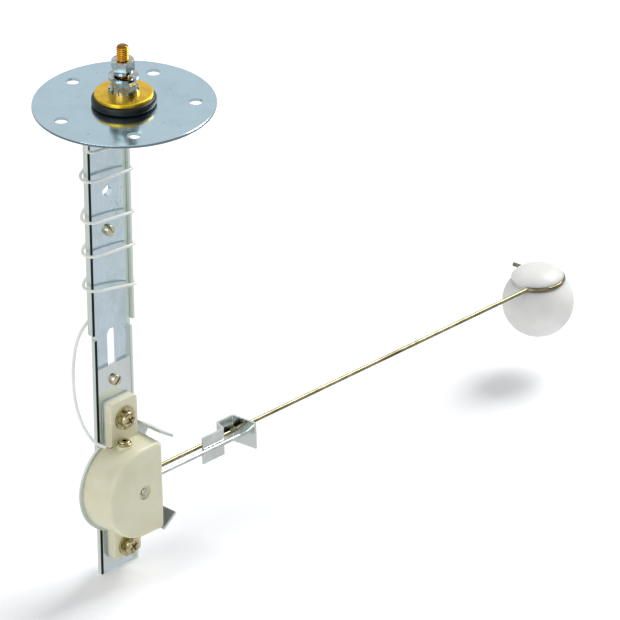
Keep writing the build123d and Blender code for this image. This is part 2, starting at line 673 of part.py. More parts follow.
with BuildPart() as stud_insulator:
    flat_ring(FLANGE_T, INSULATOR_T, INSULATOR_R, BUSH_R)
    fillet(stud_insulator.edges().filter_by(GeomType.CIRCLE).group_by(SortBy.RADIUS)[-1], 1.2)
stud_insulator.part.label = "stud_insulator"
export_step(stud_insulator.part, "parts/stud_insulator.step")

with BuildPart() as inner_insulator:
    flat_ring(-INNER_WASHER_T, INNER_WASHER_T, INNER_WASHER_R, STUD_R)
    flat_ring(0, DISC_Z, BUSH_R, STUD_R)
inner_insulator.part.label = "inner_insulator"
export_step(inner_insulator.part, "parts/inner_insulator.step")

with BuildPart() as terminal_disc:
    flat_ring(DISC_Z, DISC_WASHER_T, DISC_WASHER_R, STUD_R)
    fillet(terminal_disc.faces().sort_by(Axis.Z)[-1].edges().sort_by(SortBy.RADIUS)[-1], 0.5)
terminal_disc.part.label = "terminal_disc"
export_step(terminal_disc.part, "parts/terminal_disc.step")

with BuildPart() as base_washer:
    flat_ring(SMALL_Z, SMALL_WASHER_T, SMALL_WASHER_R, STUD_R)
base_washer.part.label = "base_washer"
export_step(base_washer.part, "parts/base_washer.step")

with BuildPart() as tooth_washer:
    flat_ring(TOOTH_Z, SMALL_WASHER_T, SMALL_WASHER_R - 0.2, STUD_R)
    with PolarLocations(SMALL_WASHER_R, TOOTH_COUNT):
        with Locations((0, 0, TOOTH_Z)):
            Box(1.8, 1.0, 3 * SMALL_WASHER_T, mode=Mode.SUBTRACT)
tooth_washer.part.label = "tooth_washer"
export_step(tooth_washer.part, "parts/tooth_washer.step")

with BuildPart() as lower_nut:
    hex_nut(LOWER_NUT_Z, TERMINAL_NUT_H, 15)
lower_nut.part.label = "lower_nut"
export_step(lower_nut.part, "parts/lower_nut.step")

with BuildPart() as flat_washer:
    flat_ring(FLAT_Z, FLAT_WASHER_T, FLAT_WASHER_R, STUD_R)
flat_washer.part.label = "flat_washer"
export_step(flat_washer.part, "parts/flat_washer.step")

# Spring lock washer: one open turn of square wire that rises by its pitch
with BuildPart() as lock_washer:
    with BuildLine() as coil:
        Helix(LOCK_PITCH, 0.9 * LOCK_PITCH, LOCK_R, center=(0, 0, LOCK_Z + LOCK_SECTION / 2))
    with BuildSketch(Plane(coil.line @ 0, x_dir=(1, 0, 0), z_dir=coil.line % 0)):
        Rectangle(LOCK_SECTION * 0.9, LOCK_SECTION)
    sweep(path=coil.line, is_frenet=True)
lock_washer.part.label = "lock_washer"
export_step(lock_washer.part, "parts/lock_washer.step")

with BuildPart() as upper_nut:
    hex_nut(UPPER_NUT_Z + 0.1, TERMINAL_NUT_H, 0)
upper_nut.part.label = "upper_nut"
export_step(upper_nut.part, "parts/upper_nut.step")

with BuildPart() as terminal_stud:
    with Locations((0, 0, LUG_Z)):
        Cylinder(STUD_R, STUD_TOP - LUG_Z, align=(Align.CENTER, Align.CENTER, Align.MIN))
    fillet(terminal_stud.faces().sort_by(Axis.Z)[-1].edges(), 1.0)
    with Locations((0, 0, LUG_Z)):
        Cylinder(STUD_HEAD_R, STUD_HEAD_T, align=(Align.CENTER, Align.CENTER, Align.MAX))
terminal_stud.part.label = "terminal_stud"
export_step(terminal_stud.part, "parts/terminal_stud.step")

# Ring terminal: a flat eye under the inner insulator, with a barrel that grips the lead
BARREL_X = -LUG_R - LUG_BARREL_LEN
with BuildPart() as ring_terminal:
    with BuildSketch(Plane.XY.offset(LUG_Z)):
        Circle(LUG_R)
        with Locations((-LUG_R, 0)):
            Rectangle(4, 2.4)
        Circle(STUD_R, mode=Mode.SUBTRACT)
    extrude(amount=LUG_T)
    with BuildSketch(Plane.YZ.offset(BARREL_X)):
        with Locations((0, LUG_Z + LUG_T - LUG_BARREL_R)):
            Circle(LUG_BARREL_R)
    extrude(amount=LUG_BARREL_LEN - 0.8)
    with BuildSketch(Plane.YZ.offset(BARREL_X)):
        with Locations((0, LUG_Z + LUG_T - LUG_BARREL_R)):
            Circle(LEAD_R)
    extrude(amount=3.0, mode=Mode.SUBTRACT)
ring_terminal.part.label = "ring_terminal"
export_step(ring_terminal.part, "parts/ring_terminal.step")

# Resistor terminal: a hollow rivet through the housing's top wall
PAD_Z = PIVOT_Z + HOUSING_R + PAD_RISE
with BuildPart() as resistor_terminal:
    with Locations((EYELET_X, EYELET_Y, PAD_Z)):
        Cylinder(EYELET_HEAD_R, EYELET_HEAD_T, align=(Align.CENTER, Align.CENTER, Align.MIN))
    fillet(resistor_terminal.faces().sort_by(Axis.Z)[-1].edges(), 0.5)
    with Locations((EYELET_X, EYELET_Y, PAD_Z)):
        Cylinder(EYELET_R, HOUSING_WALL + PAD_RISE + 1.4, align=(Align.CENTER, Align.CENTER, Align.MAX))
    with Locations((EYELET_X, EYELET_Y, PAD_Z + EYELET_HEAD_T)):
        Cylinder(0.8, 3.0, align=(Align.CENTER, Align.CENTER, Align.MAX), mode=Mode.SUBTRACT)
resistor_terminal.part.label = "resistor_terminal"
export_step(resistor_terminal.part, "parts/resistor_terminal.step")

# The bare wire's ring round that rivet, and the height where the lead comes in
BARE_Z = PAD_Z + BARE_R + 0.1
BARE_DROP = 1.1
RING_R = EYELET_HEAD_R + BARE_R + 0.02

# Lead wire: from the ring terminal, five loose turns round the strut, then a free bow to the resistor terminal
SIDE_X = UPPER_W / 2 + LEAD_R + 1.1
FRONT_Y = STRUT_BACK - UPPER_DEPTH - LEAD_R - 0.6
REAR_Y = STRUT_BACK + LEAD_R + 0.5
TURN_LEVELS = (-19.0, -31.5, -49.0, -63.5, -78.0)
TURN_FALL = (3.0, 2.6, 3.4, 2.6, 5.5)  # how far each front run drops from left to right
BARREL_Z = LUG_Z + LUG_T - LUG_BARREL_R
lead_points = [(BARREL_X + 2.4, 0, BARREL_Z), (BARREL_X - 2.2, 0, BARREL_Z)]
lead_points += [(BARREL_X - 5.2, 3.0, BARREL_Z - 2.9), (BARREL_X - 4.6, 6.6, -13.0)]
for level, fall, following in zip(TURN_LEVELS, TURN_FALL, TURN_LEVELS[1:] + (-97.0,)):
    around = level - fall - 1.2  # height where the turn has come round to the back
    lead_points += [(-SIDE_X, FRONT_Y, level), (0, FRONT_Y - 0.5, level - 0.4 * fall)]
    lead_points += [(SIDE_X, FRONT_Y, level - fall), (SIDE_X, REAR_Y, around)]
    lead_points += [(0, REAR_Y + 0.9, (around + following + 1.5) / 2), (-SIDE_X, REAR_Y, following + 1.5)]
lead_points += [(-17.0, 13.6, -104.0), (-20.4, 11.0, -114.5), (-21.0, 8.8, -124.5)]
lead_points += [(-19.2, 6.6, -133.4), (-15.8, 4.2, -140.5), (-11.9, 3.0, BARE_Z + BARE_DROP)]
lead_radii = [
    round(round_corner_arc(*lead_points[i - 1:i + 2]), 3) for i in range(1, len(lead_points) - 1)
]
with BuildPart() as lead_wire:
    with BuildLine() as lead_path:
        FilletPolyline(*lead_points, radius=lead_radii)
    with BuildSketch(Plane(lead_path.line @ 0, z_dir=lead_path.line % 0)):
        Circle(LEAD_R)
    sweep(path=lead_path.line)
lead_wire.part.label = "lead_wire"
export_step(lead_wire.part, "parts/lead_wire.step")
print("lead bend radii", lead_radii)
lead_length = sum(edge.length for edge in lead_path.line.edges())
print("lead length", lead_length)
print("lead volume", lead_wire.part.volume, "section by length", math.pi * LEAD_R ** 2 * lead_length)

# Bare wire end: leaves the insulation and takes one turn round the resistor terminal
lead_end = Vector(*lead_points[-1])
lead_way = (lead_end - Vector(*lead_points[-2])).normalized()
elbow = lead_end + lead_way * (BARE_DROP / -lead_way.Z)
reach = math.hypot(elbow.X - EYELET_X, elbow.Y - EYELET_Y)
towards = math.degrees(math.atan2(elbow.Y - EYELET_Y, elbow.X - EYELET_X))
touch = towards - math.degrees(math.acos(RING_R / reach))
with BuildPart() as wire_end:
    with BuildLine() as bare_path:
        ring = CenterArc((EYELET_X, EYELET_Y, BARE_Z), RING_R, touch, -290)
        FilletPolyline(lead_end, elbow, ring @ 0, radius=BARE_BEND_R)
    with BuildSketch(Plane(bare_path.wires()[0] @ 0, z_dir=bare_path.wires()[0] % 0)):
        Circle(BARE_R)
    sweep(path=bare_path.wires()[0])
wire_end.part.label = "wire_end"
export_step(wire_end.part, "parts/wire_end.step")
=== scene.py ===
"""A swing-arm fuel level sender: finishes, thread, screws, lead, float, light and camera."""
import math

import bpy
import numpy as np
from mathutils import Matrix, Vector


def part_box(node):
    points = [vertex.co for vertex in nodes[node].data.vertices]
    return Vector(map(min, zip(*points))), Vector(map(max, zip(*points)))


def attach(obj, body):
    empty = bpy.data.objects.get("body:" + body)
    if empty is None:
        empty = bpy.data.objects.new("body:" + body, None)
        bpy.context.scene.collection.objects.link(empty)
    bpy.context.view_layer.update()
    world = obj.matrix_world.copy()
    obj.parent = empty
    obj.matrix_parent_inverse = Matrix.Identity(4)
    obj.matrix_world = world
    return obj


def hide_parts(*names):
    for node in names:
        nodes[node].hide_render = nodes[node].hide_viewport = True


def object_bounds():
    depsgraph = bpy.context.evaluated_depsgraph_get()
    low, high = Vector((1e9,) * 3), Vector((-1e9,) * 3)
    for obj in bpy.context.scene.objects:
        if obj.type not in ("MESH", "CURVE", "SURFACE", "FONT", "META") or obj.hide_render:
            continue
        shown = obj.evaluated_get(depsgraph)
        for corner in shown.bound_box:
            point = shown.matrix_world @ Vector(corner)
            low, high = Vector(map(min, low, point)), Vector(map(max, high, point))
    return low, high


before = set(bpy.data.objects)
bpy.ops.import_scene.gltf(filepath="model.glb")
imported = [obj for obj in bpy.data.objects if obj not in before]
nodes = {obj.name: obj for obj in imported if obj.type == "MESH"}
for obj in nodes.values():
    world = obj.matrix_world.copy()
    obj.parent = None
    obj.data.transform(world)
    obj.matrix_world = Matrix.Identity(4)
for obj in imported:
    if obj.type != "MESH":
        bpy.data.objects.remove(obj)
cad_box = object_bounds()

MM = 0.001

# Sizes in millimetres: the part's own, and those of the surfaces made here
STUD_R = 2.4
THREAD_PITCH = 0.8
THREAD_DEPTH = 0.42
STUD_HEAD_T = 1.8
STUD_CHAMFER = 0.55
LEAD_R = 0.6
FLOAT_DROP = 9.95
GROOVE_HALF = 1.05
GROOVE_R = 8.95
CAP_R = 10.2
CAP_RISE = 3.5
SEAM_RISE = 0.03
SEAM_HALF = 0.16
WIRE_PITCH = 0.32
SCREW_R = 1.9
SMALL_HEAD_R = 2.25
PAN_HEAD_H = 1.8
SLOT_W = 0.8
SLOT_DEPTH = 0.9
HEAD_FALL = 0.35
PIN_R = 1.5

# Points round each turned surface
HEAD_COLUMNS = 96
PIN_COLUMNS = 64
STUD_COLUMNS = 48
FLOAT_COLUMNS = 128

# Tones laid over the metal finishes: dirt, a darker rim, painted light and painted shade
DIRT = "#5E6A63"
# Painted light: the folded strips' walls are painted paler
PAINTED_LIGHT_WALL = "#DCE6DF"
# Painted shade: a nearly black band along the left wall's front edge
PAINTED_EDGE_SHADE = "#1E2826"
BLANK_RIM = "#56605F"
# Painted shade in a thread's valleys
PAINTED_THREAD_SHADE = "#3E2408"


# Colour and node helpers

def linear(hex_code):
    """An sRGB hex colour as linear RGBA: the low end divides by 12.92, the rest is a power of 2.4."""
    parts = np.array([int(hex_code[i:i + 2], 16) for i in (1, 3, 5)]) / 255.0
    low = parts / 12.92
    high = ((parts + 0.055) / 1.055) ** 2.4
    return tuple(float(v) for v in np.where(parts <= 0.04045, low, high)) + (1.0,)


def add(tree, kind, settings=None, **links):
    """Adds one node, sets its own properties, and joins or sets each named input."""
    node = tree.nodes.new(kind)
    for key, value in (settings or {}).items():
        setattr(node, key, value)
    for key, value in links.items():
        socket = node.inputs[int(key[1:])] if key[1:].isdigit() else node.inputs[key.replace("_", " ")]
        if isinstance(value, bpy.types.NodeSocket):
            tree.links.new(value, socket)
        else:
            socket.default_value = value
    return node


def every(size_mm):
    """The texture scale that gives one feature each size_mm, as object coordinates are in metres."""
    return 1.0 / (size_mm * MM)


def new_material(name):
    """An empty material with its shader and the object coordinates, which every finish starts from."""
    material = bpy.data.materials.new(name)
    material.use_nodes = True
    tree = material.node_tree
    tree.nodes.clear()
    shader = add(tree, "ShaderNodeBsdfPrincipled")
    output = add(tree, "ShaderNodeOutputMaterial")
    tree.links.new(shader.outputs["BSDF"], output.inputs["Surface"])
    place = add(tree, "ShaderNodeTexCoord").outputs["Object"]
    return material, tree, shader, place


def cloud(tree, place, size_mm, detail, roughness, stretch=(1, 1, 1)):
    """Fractal noise with features of size_mm, drawn out along an axis whose stretch is under one."""
    moved = add(tree, "ShaderNodeMapping", Vector=place, Scale=stretch)
    noise = add(tree, "ShaderNodeTexNoise", Vector=moved.outputs["Vector"], Scale=every(size_mm),
                Detail=detail, Roughness=roughness)
    return noise.outputs["Fac"]


def span(tree, value, low_in, high_in, low_out, high_out):
    """Maps one range of a value on another and clamps it there."""
    mapped = add(tree, "ShaderNodeMapRange", {"clamp": True}, Value=value, From_Min=low_in,
                 From_Max=high_in, To_Min=low_out, To_Max=high_out)
    return mapped.outputs["Result"]


def blend(tree, factor, first, second):
    """Mixes two colours by a factor."""
    return add(tree, "ShaderNodeMix", {"data_type": "RGBA"}, _0=factor, _6=first, _7=second).outputs[2]


def calculate(tree, operation, *values):
    """One step of arithmetic on outputs and plain numbers."""
    links = {f"_{index}": value for index, value in enumerate(values)}
    return add(tree, "ShaderNodeMath", {"operation": operation}, **links).outputs[0]


def from_axis(tree, place):
    """The distance from the upright axis through the object's origin, the length of (x, y, 0)."""
    flat = add(tree, "ShaderNodeVectorMath", {"operation": "MULTIPLY"}, _0=place, _1=(1.0, 1.0, 0.0))
    reach = add(tree, "ShaderNodeVectorMath", {"operation": "LENGTH"}, _0=flat.outputs[0])
    return reach.outputs["Value"]


def bump(tree, height, depth_mm, normal=None):
    """Surface relief of depth_mm where the height goes from 0 to 1."""
    links = {"Height": height, "Distance": depth_mm * MM, "Strength": 1.0}
    if normal is not None:
        links["Normal"] = normal
    return add(tree, "ShaderNodeBump", **links).outputs["Normal"]


# Finishes

def rolled_sheet(name, pale, dark, grain, rough, stain, stain_share, wing=None, rim=None):
    """Cold rolled sheet under electroplate: long fine rolling lines along one axis, slow clouds in the
    plating that change its colour and gloss, and small dirt spots that gather in a few places. stain
    tints the clouds' dark side. wing is for a folded strip and gives, in mm, the x where its left wall
    begins and the y just behind that wall's sheared edge: the walls are paler, as painted light, and
    duller, from 0.5 mm further in on the right, and the left wall's sheared edge is painted nearly
    black as shade. rim is the radius in mm beyond which a round blank's sheared rim is darker."""
    material, tree, shader, place = new_material(name)
    shader.inputs["Metallic"].default_value = 1.0
    lines = cloud(tree, place, 0.35, 3.0, 0.6, grain)
    clouds = cloud(tree, place, 13.0, 5.0, 0.55)
    colour = blend(tree, span(tree, lines, 0.2, 0.8, 0.0, 1.0), linear(dark), linear(pale))
    share = span(tree, clouds, 0.46, 0.66, 0.0, stain_share)
    colour = blend(tree, share, colour, linear(stain))
    spots = span(tree, cloud(tree, place, 0.8, 2.0, 0.5), 0.66, 0.71, 0.0, 0.8)
    places = span(tree, cloud(tree, place, 7.0, 2.0, 0.5), 0.54, 0.62, 0.0, 1.0)
    dirt = calculate(tree, "MULTIPLY", spots, places)
    colour = blend(tree, dirt, colour, linear(DIRT))
    gloss = span(tree, clouds, 0.35, 0.68, rough[0], rough[1])
    if wing:
        wall_x, edge_y = wing
        apart = add(tree, "ShaderNodeSeparateXYZ", Vector=place)
        left = span(tree, apart.outputs["X"], (wall_x - 0.05) * MM, wall_x * MM, 1.0, 0.0)
        right = span(tree, apart.outputs["X"], (-wall_x - 0.6) * MM, (-wall_x - 0.5) * MM, 0.0, 1.0)
        front = span(tree, apart.outputs["Y"], (edge_y - 0.05) * MM, edge_y * MM, 1.0, 0.0)
        walls = calculate(tree, "MAXIMUM", left, right)
        # Painted light: the walls are painted paler
        colour = blend(tree, walls, colour, linear(PAINTED_LIGHT_WALL))
        gloss = calculate(tree, "MULTIPLY_ADD", walls, 0.2, gloss)
        # Painted shade: the left wall's front edge is painted nearly black
        edge = calculate(tree, "MULTIPLY", left, front)
        colour = blend(tree, edge, colour, linear(PAINTED_EDGE_SHADE))
    if rim:
        outer = span(tree, from_axis(tree, place), (rim - 0.05) * MM, rim * MM, 0.0, 0.75)
        colour = blend(tree, outer, colour, linear(BLANK_RIM))
    tree.links.new(colour, shader.inputs["Base Color"])
    tree.links.new(gloss, shader.inputs["Roughness"])
    relief = bump(tree, lines, 0.0012)
    tree.links.new(bump(tree, dirt, 0.01, relief), shader.inputs["Normal"])
    return material


def turned_metal(name, pale, dark, rough, film_mm, root_mm=None):
    """Turned or drawn metal: an even colour with small tarnish spots and a gloss that follows them.
    Within root_mm of the upright axis, in a thread's valleys, it is painted dark brown as shade."""
    material, tree, shader, place = new_material(name)
    shader.inputs["Metallic"].default_value = 1.0
    film = cloud(tree, place, film_mm, 5.0, 0.6)
    colour = blend(tree, span(tree, film, 0.38, 0.66, 0.0, 1.0), linear(pale), linear(dark))
    if root_mm:
        # Painted shade: the thread's valleys are painted dark brown
        root = span(tree, from_axis(tree, place), root_mm * MM, (root_mm + 0.15) * MM, 0.75, 0.0)
        colour = blend(tree, root, colour, linear(PAINTED_THREAD_SHADE))
    tree.links.new(colour, shader.inputs["Base Color"])
    tree.links.new(span(tree, film, 0.35, 0.7, rough[0], rough[1]), shader.inputs["Roughness"])
    fine = cloud(tree, place, 0.25, 2.0, 0.5)
    tree.links.new(bump(tree, fine, 0.004), shader.inputs["Normal"])
    return material


def moulded(name, pale, dark, rough, grain_mm=0.22, relief_mm=0.012, cloud_mm=14.0, scatter=0.0,
            shine=0.5):
    """Moulded plastic: a slow change of tone across the moulding, a fine pebble from the tool's spark
    finish and a gloss that follows the tone. scatter lets light into the milky sorts."""
    material, tree, shader, place = new_material(name)
    tone = cloud(tree, place, cloud_mm, 3.0, 0.5)
    share = span(tree, tone, 0.38, 0.64, 0.0, 1.0)
    tree.links.new(blend(tree, share, linear(pale), linear(dark)), shader.inputs["Base Color"])
    tree.links.new(span(tree, tone, 0.35, 0.65, rough[0], rough[1]), shader.inputs["Roughness"])
    pebble = cloud(tree, place, grain_mm, 2.0, 0.5)
    tree.links.new(bump(tree, pebble, relief_mm), shader.inputs["Normal"])
    shader.inputs["Specular IOR Level"].default_value = shine
    if scatter:
        shader.inputs["Subsurface Weight"].default_value = scatter
        shader.inputs["Subsurface Radius"].default_value = (1.0, 0.95, 0.8)
        shader.inputs["Subsurface Scale"].default_value = 4.0 * MM
    return material


def pressed_fibre(name, pale, dark):
    """Vulcanised fibre: thin stacked layers with short fibres in them, dull and slightly uneven."""
    material, tree, shader, place = new_material(name)
    layers = cloud(tree, place, 0.16, 3.0, 0.6, (0.08, 0.08, 1.0))
    fibres = cloud(tree, place, 0.5, 4.0, 0.6)
    share = span(tree, layers, 0.38, 0.62, 0.0, 1.0)
    tree.links.new(blend(tree, share, linear(pale), linear(dark)), shader.inputs["Base Color"])
    tree.links.new(span(tree, fibres, 0.4, 0.6, 0.42, 0.6), shader.inputs["Roughness"])
    tree.links.new(bump(tree, fibres, 0.02), shader.inputs["Normal"])
    return material


def wound_wire(name, pale, dark):
    """Fine resistance wire laid turn beside turn: a band for each turn along the card, with a painted
    highlight on the crown and painted shade in the valley between two turns."""
    material, tree, shader, place = new_material(name)
    shader.inputs["Metallic"].default_value = 1.0
    bands = {"wave_type": "BANDS", "bands_direction": "Z", "wave_profile": "SIN"}
    wave = add(tree, "ShaderNodeTexWave", bands, Vector=place, Scale=every(WIRE_PITCH) / (2 * math.pi),
               Distortion=0.0)
    crown = wave.outputs["Fac"]
    # Painted highlight on each turn's crown and painted shade in the valley between turns
    tree.links.new(blend(tree, crown, linear(dark), linear(pale)), shader.inputs["Base Color"])
    shader.inputs["Roughness"].default_value = 0.34
    tree.links.new(bump(tree, crown, 0.12), shader.inputs["Normal"])
    return material


# The flange is blue-bright zinc, smooth enough to mirror the terminal's stack softly
flange_zinc = rolled_sheet("blue_bright_zinc_on_stamped_steel", "#B4CBD5", "#ADC5D0", (0.05, 1.0, 1.0),
                           (0.13, 0.2), "#A6BBC2", 0.5, rim=34.98)
# The upper strip is the same zinc, drawn along its length, with painted light on its walls and painted
# shade, nearly black, along the left wall's front edge
upper_zinc = rolled_sheet("blue_zinc_on_folded_strip", "#D4E3EC", "#C8D9E3", (1.0, 1.0, 0.04),
                          (0.12, 0.22), "#B9CACB", 0.6, (-9.82, 9.5))
# The nested strip matches it
middle_zinc = rolled_sheet("blue_zinc_on_nested_strip", "#D3E2EB", "#C7D8E2", (1.0, 1.0, 0.04),
                           (0.12, 0.22), "#B6C8CA", 0.6, (-8.62, 9.8))
# The lowest strip is greyer, with a faint green cast
lower_zinc = rolled_sheet("grey_green_passivated_strip", "#DEE5E5", "#D2DAD9", (1.0, 1.0, 0.04),
                          (0.16, 0.28), "#BCC8C4", 0.6)
# The bracket is brighter, so its edges catch the light
bright_zinc = rolled_sheet("bright_zinc_on_folded_strip", "#DDE2DF", "#CBD2CF", (0.06, 1.0, 1.0),
                           (0.12, 0.24), "#B4BDB8", 0.5)
# The backing plate is duller, as its bent tabs show
backing_zinc = rolled_sheet("dull_zinc_on_backing_plate", "#DDE2E0", "#CFD6D3", (0.06, 1.0, 1.0),
                            (0.42, 0.5), "#B4BDB8", 0.4)
# The nuts and the washers are polished by handling, so they show white faces beside dark ones
bright_nut = turned_metal("bright_zinc_on_turned_steel", "#B9BFBE", "#8F9695", (0.04, 0.1), 1.6)
# The housing's screws and washers and the rivet carry a pale yellow passivation, deeper in places
yellow_plate = turned_metal("pale_yellow_passivated_steel", "#D0C7A2", "#857850", (0.08, 0.18), 1.3)
# The strut's two screws are nickel plated, with a faint yellow cast
grey_screw = turned_metal("nickel_plated_screw", "#DAD5BE", "#A39A7C", (0.08, 0.18), 1.0)
# The arm is plain drawn steel wire
steel_wire = turned_metal("drawn_steel_wire", "#D2D6D4", "#B4B9B7", (0.1, 0.2), 3.0)
# The pivot's end is duller steel
dull_pin = turned_metal("dull_steel_pin_end", "#D0D2C4", "#A9AB9C", (0.24, 0.36), 1.4)
# The terminal's stud is turned brass, deep and golden, with painted brown shade in the thread's valleys
brass = turned_metal("turned_brass", "#E6B145", "#C08424", (0.1, 0.2), 2.2, STUD_R - 0.8 * THREAD_DEPTH)
# The float's rod is drawn brass, tarnished to a grey olive, with long changes of tone
pale_brass = turned_metal("drawn_pale_brass_wire", "#96906F", "#5C573E", (0.08, 0.16), 7.0)
# The drag spring and the contact are phosphor bronze
bronze = turned_metal("phosphor_bronze_spring_strip", "#C89A6C", "#A5744A", (0.26, 0.4), 2.0)
# The lead's bare end and its ring terminal are tinned copper
tinned = turned_metal("tinned_copper_wire", "#C4B98F", "#7E7048", (0.12, 0.24), 1.2)
# The bracket's screw is blackened steel
black_oxide = turned_metal("black_oxide_screw", "#34353A", "#1C1D20", (0.3, 0.46), 1.5)
# The housing is a cream acetal moulding, a little greener in its slow patches
cream = moulded("cream_acetal_moulding", "#E8E5C9", "#DEDBBB", (0.36, 0.5), scatter=0.2)
# The insulators are pressed black phenolic, waxy rather than glossy
phenolic = moulded("pressed_black_phenolic", "#111312", "#0A0B0A", (0.3, 0.44), 0.3, 0.012, 6.0,
                   shine=0.3)
# The float is milky nylon that lets light in, which evens out its shading
milky = moulded("milky_nylon_float", "#EAEAE7", "#E2E2DF", (0.3, 0.42), 0.5, 0.004, 12.0, 0.8, 0.35)
# The lead's insulation is a waxy white with a faint green cast, slightly dirtier in places
lead_cover = moulded("white_lead_insulation", "#F0F2EC", "#E6E9E1", (0.36, 0.5), 0.3, 0.006, 9.0, 0.15)
# The terminal's disc shines like metal under a deep yellow passivation, nearly gold
yellow_disc = turned_metal("yellow_passivated_disc", "#E0B833", "#C9A020", (0.28, 0.38), 4.0)
# The resistor's card is brown fibre, and its wire is nickel chrome
brown_card = pressed_fibre("brown_fibre_card", "#8A6440", "#6A4A2E")
winding = wound_wire("nickel_chrome_winding", "#B9B3A4", "#4A4740")

FINISHES = {
    "mounting_flange": flange_zinc, "upper_channel": upper_zinc, "middle_channel": middle_zinc,
    "lower_plate": lower_zinc, "backing_plate": backing_zinc, "rod_bracket": bright_zinc,
    "stage_screw": grey_screw, "depth_screw": grey_screw, "depth_washer": bright_nut,
    "depth_nut": bright_nut, "housing_screws": yellow_plate, "housing_washers": yellow_plate,
    "housing_nuts": bright_nut, "base_washer": bright_nut, "tooth_washer": bright_nut,
    "lock_washer": bright_nut, "flat_washer": bright_nut, "lower_nut": bright_nut,
    "upper_nut": bright_nut, "terminal_stud": brass, "resistor_terminal": yellow_plate,
    "float_rod": pale_brass, "swing_arm": steel_wire, "pivot_pin": dull_pin,
    "clamp_screw": black_oxide, "spring_washer": bronze, "wiper_contact": bronze,
    "ring_terminal": tinned, "wire_end": tinned,
    "wiper_hub": phenolic, "stud_insulator": phenolic, "inner_insulator": phenolic,
    "terminal_disc": yellow_disc, "resistor_housing": cream, "float": milky,
    "lead_wire": lead_cover, "resistor_card": brown_card, "resistance_winding": winding,
}


def dress(piece, material):
    """Gives a piece one material and nothing else."""
    piece.data.materials.clear()
    piece.data.materials.append(material)


def shade_by_angle(piece, degrees):
    """Smooth shading with every edge sharper than this angle kept crisp."""
    mesh = piece.data
    mesh.polygons.foreach_set("use_smooth", np.ones(len(mesh.polygons), dtype=bool))
    mesh.set_sharp_from_angle(angle=math.radians(degrees))


for node_name, node in nodes.items():
    dress(node, FINISHES[node_name])


# Turned surfaces

def mesh_piece(name, points, faces, material):
    """Puts whole arrays of points in millimetres and of faces into a new piece."""
    mesh = bpy.data.meshes.new(name)
    mesh.from_pydata((np.asarray(points) * MM).tolist(), [], faces)
    mesh.validate()
    piece = bpy.data.objects.new(name, mesh)
    bpy.context.scene.collection.objects.link(piece)
    dress(piece, material)
    return piece


def turned_piece(name, radius, height, centre, material, columns, forward=False):
    """A surface turned about an upright axis through centre. radius[row, column] and height[row, column]
    give x = cx + r cos a, y = cy + r sin a, z = cz + h, and a point on the axis closes each end.
    A forward one has its axis along y: x = cx + r cos a, y = cy + h, z = cz - r sin a."""
    rows = len(height)
    angle = np.linspace(0, 2 * np.pi, columns, endpoint=False)
    r = np.broadcast_to(radius, (rows, columns))
    h = np.broadcast_to(height if np.ndim(height) == 2 else height[:, None], (rows, columns))
    ring = np.stack([r * np.cos(angle), r * np.sin(angle), h], axis=-1).reshape(-1, 3)
    points = np.vstack([ring, [[0, 0, h[0, 0]], [0, 0, h[-1, 0]]]])
    if forward:
        points = points[:, [0, 2, 1]] * (1, 1, -1)
    here = np.arange(columns)
    beside = (here + 1) % columns
    row = np.arange(rows - 1)[:, None] * columns
    quads = np.stack([row + here, row + beside, row + columns + beside, row + columns + here], axis=-1)
    foot = np.stack([beside, here, np.full(columns, rows * columns)], axis=-1)
    last = (rows - 1) * columns
    head = np.stack([last + here, last + beside, np.full(columns, rows * columns + 1)], axis=-1)
    faces = quads.reshape(-1, 4).tolist() + foot.tolist() + head.tolist()
    return mesh_piece(name, points + np.asarray(centre, dtype=float), faces, material)


def box_mm(node_name):
    """The low and the high corner of a node's box in millimetres."""
    return [np.array(corner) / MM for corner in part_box(node_name)]


def front_middle(low, high):
    """The middle of a box's front face, where y is smallest."""
    return (low[0] + high[0]) / 2, low[1], (low[2] + high[2]) / 2


def slotted_screw(node_name, turned):
    """A screw with a low round head and a slot. Rings of growing radius cover the head's face, which
    falls with the fourth power of the radius, and a ring point less than half the slot's width from the
    slot's middle line lies at the slot's floor. That line is where the radius times the cosine of the
    point's angle plus the screw's turn is nought."""
    low, high = box_mm(node_name)
    face = np.linspace(0.06, SMALL_HEAD_R - 0.3, 22)
    radius = np.concatenate([face, [SMALL_HEAD_R - 0.12, SMALL_HEAD_R, SMALL_HEAD_R, SCREW_R, SCREW_R]])
    depth = np.concatenate([HEAD_FALL * (face / SMALL_HEAD_R) ** 4,
                            [HEAD_FALL, 0.6, PAN_HEAD_H, PAN_HEAD_H, high[1] - low[1]]])
    angle = np.linspace(0, 2 * np.pi, HEAD_COLUMNS, endpoint=False)
    aside = np.abs(radius[:, None] * np.cos(angle + math.radians(turned)))
    in_slot = (aside < SLOT_W / 2) & (depth[:, None] < SLOT_DEPTH)
    height = np.where(in_slot, SLOT_DEPTH, depth[:, None])
    piece = turned_piece(node_name + "_slotted", radius[:, None], height, front_middle(low, high),
                         grey_screw, HEAD_COLUMNS, forward=True)
    shade_by_angle(piece, 40)
    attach(piece, "base")
    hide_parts(node_name)


def standing_pin():
    """The pivot pin as a plain round end with a small chamfer, free in the housing's recess."""
    low, high = box_mm("pivot_pin")
    radius = np.array([0.3, PIN_R - 0.35, PIN_R - 0.05, PIN_R, PIN_R])
    depth = np.array([0.0, 0.02, 0.3, 0.6, high[1] - low[1]])
    piece = turned_piece("standing_pin", radius[:, None], depth, front_middle(low, high), dull_pin,
                         PIN_COLUMNS, forward=True)
    shade_by_angle(piece, 40)
    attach(piece, "base")
    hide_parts("pivot_pin")


